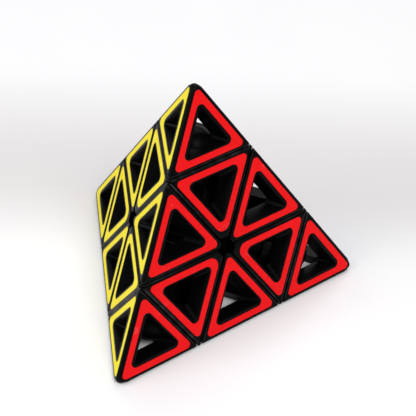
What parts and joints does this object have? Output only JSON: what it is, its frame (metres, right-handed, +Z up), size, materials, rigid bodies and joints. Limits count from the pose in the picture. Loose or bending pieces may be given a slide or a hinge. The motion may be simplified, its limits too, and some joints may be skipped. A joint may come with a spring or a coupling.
{
  "type": "pyramid twisting puzzle",
  "caption": "Pyramid twisting puzzle of open black frames with flush coloured rings; corner layers and corner tips turn about a hidden core.",
  "frame": {"origin": "centre of the core ball, where the four turning axes meet", "axes": "+Z up through the top corner, square to the green face that it stands on; one corner of that face points along -Y"},
  "size_m": [0.0934, 0.0815, 0.0766],
  "materials": {
    "frame_plastic": "glossy black moulded plastic",
    "core_plastic": "satin black moulded plastic",
    "cap_plastic": "glossy dark moulded plastic",
    "screw_steel": "bright machine screw",
    "spring_steel": "drawn spring wire",
    "washer_steel": "stamped washer",
    "red_tile": "semi-gloss opaque colour film",
    "yellow_tile": "semi-gloss opaque colour film",
    "blue_tile": "semi-gloss opaque colour film",
    "green_tile": "semi-gloss opaque colour film"
  },
  "bodies": {
    "core": {"core": "core_plastic", "corner_screws": "screw_steel", "tension_springs": "spring_steel", "spring_washers": "washer_steel"},
    "axial_top": {"axial_top": "frame_plastic", "tile_red_axial_top": "red_tile", "tile_yellow_axial_top": "yellow_tile", "tile_blue_axial_top": "blue_tile"},
    "tip_top": {"tip_top": "frame_plastic", "screw_cap_top": "cap_plastic", "tile_red_tip_top": "red_tile", "tile_yellow_tip_top": "yellow_tile", "tile_blue_tip_top": "blue_tile"},
    "axial_front": {"axial_front": "frame_plastic", "tile_red_axial_front": "red_tile", "tile_yellow_axial_front": "yellow_tile", "tile_green_axial_front": "green_tile"},
    "tip_front": {"tip_front": "frame_plastic", "screw_cap_front": "cap_plastic", "tile_red_tip_front": "red_tile", "tile_yellow_tip_front": "yellow_tile", "tile_green_tip_front": "green_tile"},
    "axial_right": {"axial_right": "frame_plastic", "tile_red_axial_right": "red_tile", "tile_blue_axial_right": "blue_tile", "tile_green_axial_right": "green_tile"},
    "tip_right": {"tip_right": "frame_plastic", "screw_cap_right": "cap_plastic", "tile_red_tip_right": "red_tile", "tile_blue_tip_right": "blue_tile", "tile_green_tip_right": "green_tile"},
    "axial_left": {"axial_left": "frame_plastic", "tile_yellow_axial_left": "yellow_tile", "tile_blue_axial_left": "blue_tile", "tile_green_axial_left": "green_tile"},
    "tip_left": {"tip_left": "frame_plastic", "screw_cap_left": "cap_plastic", "tile_yellow_tip_left": "yellow_tile", "tile_blue_tip_left": "blue_tile", "tile_green_tip_left": "green_tile"},
    "edge_top_front": {"edge_top_front": "frame_plastic", "tile_red_edge_top_front": "red_tile", "tile_yellow_edge_top_front": "yellow_tile"},
    "edge_top_right": {"edge_top_right": "frame_plastic", "tile_red_edge_top_right": "red_tile", "tile_blue_edge_top_right": "blue_tile"},
    "edge_top_left": {"edge_top_left": "frame_plastic", "tile_yellow_edge_top_left": "yellow_tile", "tile_blue_edge_top_left": "blue_tile"},
    "edge_front_right": {"edge_front_right": "frame_plastic", "tile_red_edge_front_right": "red_tile", "tile_green_edge_front_right": "green_tile"},
    "edge_front_left": {"edge_front_left": "frame_plastic", "tile_yellow_edge_front_left": "yellow_tile", "tile_green_edge_front_left": "green_tile"},
    "edge_right_left": {"edge_right_left": "frame_plastic", "tile_blue_edge_right_left": "blue_tile", "tile_green_edge_right_left": "green_tile"}
  },
  "joints": [
    {"name": "layer_top", "type": "hinge", "parent": "core", "child": "axial_top", "pos_m": [0, 0, 0], "axis": [0, 0, 1], "range_deg": [-240, 120]},
    {"name": "layer_front", "type": "hinge", "parent": "core", "child": "axial_front", "pos_m": [0, 0, 0], "axis": [0, -0.9428, -0.3333], "range_deg": [-240, 120]},
    {"name": "layer_right", "type": "hinge", "parent": "core", "child": "axial_right", "pos_m": [0, 0, 0], "axis": [0.8165, 0.4714, -0.3333], "range_deg": [-240, 120]},
    {"name": "layer_left", "type": "hinge", "parent": "core", "child": "axial_left", "pos_m": [0, 0, 0], "axis": [-0.8165, 0.4714, -0.3333], "range_deg": [-240, 120]},
    {"name": "twist_tip_top", "type": "hinge", "parent": "axial_top", "child": "tip_top", "pos_m": [0, 0, 0], "axis": [0, 0, 1], "continuous": true},
    {"name": "twist_tip_front", "type": "hinge", "parent": "axial_front", "child": "tip_front", "pos_m": [0, 0, 0], "axis": [0, -0.9428, -0.3333], "continuous": true},
    {"name": "twist_tip_right", "type": "hinge", "parent": "axial_right", "child": "tip_right", "pos_m": [0, 0, 0], "axis": [0.8165, 0.4714, -0.3333], "continuous": true},
    {"name": "twist_tip_left", "type": "hinge", "parent": "axial_left", "child": "tip_left", "pos_m": [0, 0, 0], "axis": [-0.8165, 0.4714, -0.3333], "continuous": true},
    {"name": "edge_top_front_in_layer_front", "type": "hinge", "parent": "axial_top", "child": "edge_top_front", "pos_m": [0, 0, 0], "axis": [0, -0.9428, -0.3333], "range_deg": [-240, 120]},
    {"name": "edge_top_right_in_layer_right", "type": "hinge", "parent": "axial_top", "child": "edge_top_right", "pos_m": [0, 0, 0], "axis": [0.8165, 0.4714, -0.3333], "range_deg": [-240, 120]},
    {"name": "edge_top_left_in_layer_left", "type": "hinge", "parent": "axial_top", "child": "edge_top_left", "pos_m": [0, 0, 0], "axis": [-0.8165, 0.4714, -0.3333], "range_deg": [-240, 120]},
    {"name": "edge_front_right_in_layer_right", "type": "hinge", "parent": "axial_front", "child": "edge_front_right", "pos_m": [0, 0, 0], "axis": [0.8165, 0.4714, -0.3333], "range_deg": [-240, 120]},
    {"name": "edge_front_left_in_layer_front", "type": "hinge", "parent": "axial_left", "child": "edge_front_left", "pos_m": [0, 0, 0], "axis": [0, -0.9428, -0.3333], "range_deg": [-240, 120]},
    {"name": "edge_right_left_in_layer_left", "type": "hinge", "parent": "axial_right", "child": "edge_right_left", "pos_m": [0, 0, 0], "axis": [-0.8165, 0.4714, -0.3333], "range_deg": [-240, 120]}
  ],
  "couplings": [
    {"joint": "edge_top_front_in_layer_front", "follows": "layer_front", "ratio": 1},
    {"joint": "edge_top_right_in_layer_right", "follows": "layer_right", "ratio": 1},
    {"joint": "edge_top_left_in_layer_left", "follows": "layer_left", "ratio": 1},
    {"joint": "edge_front_right_in_layer_right", "follows": "layer_right", "ratio": 1},
    {"joint": "edge_front_left_in_layer_front", "follows": "layer_front", "ratio": 1},
    {"joint": "edge_right_left_in_layer_left", "follows": "layer_left", "ratio": 1}
  ]
}
